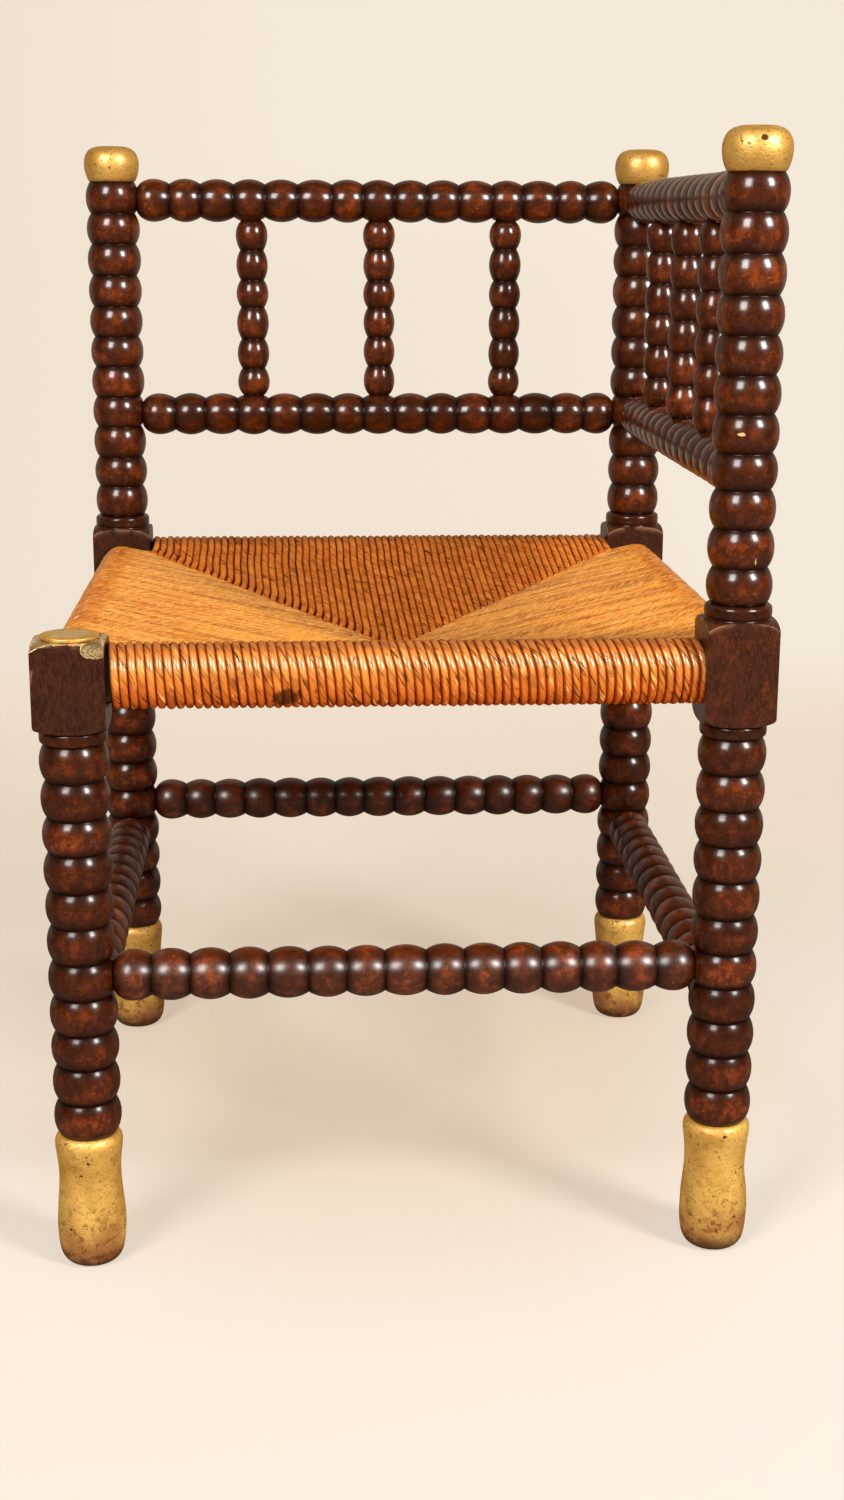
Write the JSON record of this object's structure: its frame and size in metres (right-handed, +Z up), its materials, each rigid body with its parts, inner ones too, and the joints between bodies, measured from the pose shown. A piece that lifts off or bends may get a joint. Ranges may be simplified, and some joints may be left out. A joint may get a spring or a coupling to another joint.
{
  "type": "corner chair",
  "caption": "Corner chair of bead-turned dark wood with gilded feet and finials, a woven rush seat, and spindled rails along the back and a side.",
  "frame": {"origin": "on the floor, under the middle of the seat, midway between the four posts", "axes": "+Z up; -Y is the front; the short post is at -X, -Y, and the closed sides are +Y and +X"},
  "size_m": [0.4766, 0.4766, 0.7491],
  "materials": {
    "dark_wood": "dark stain under a worn polish",
    "plain_wood": "bare wood",
    "gilt": "worn gilding on wood",
    "rush": "twisted and woven rush"
  },
  "bodies": {
    "root": {"back_left_finial": "gilt", "back_left_foot": "gilt", "back_left_post": "dark_wood", "back_lower_rail": "dark_wood", "back_right_finial": "gilt", "back_right_foot": "gilt", "back_right_post": "dark_wood", "back_rush_panel": "rush", "back_seat_rail": "plain_wood", "back_spindle_1": "dark_wood", "back_spindle_2": "dark_wood", "back_spindle_3": "dark_wood", "back_stretcher": "dark_wood", "back_top_rail": "dark_wood", "front_left_cap": "gilt", "front_left_foot": "gilt", "front_left_post": "dark_wood", "front_right_finial": "gilt", "front_right_foot": "gilt", "front_right_post": "dark_wood", "front_rush_panel": "rush", "front_seat_rail": "plain_wood", "front_stretcher": "dark_wood", "left_rush_panel": "rush", "left_seat_rail": "plain_wood", "left_stretcher": "dark_wood", "right_rush_panel": "rush", "right_seat_rail": "plain_wood", "right_stretcher": "dark_wood", "side_lower_rail": "dark_wood", "side_spindle_1": "dark_wood", "side_spindle_2": "dark_wood", "side_spindle_3": "dark_wood", "side_top_rail": "dark_wood"}
  },
  "joints": []
}
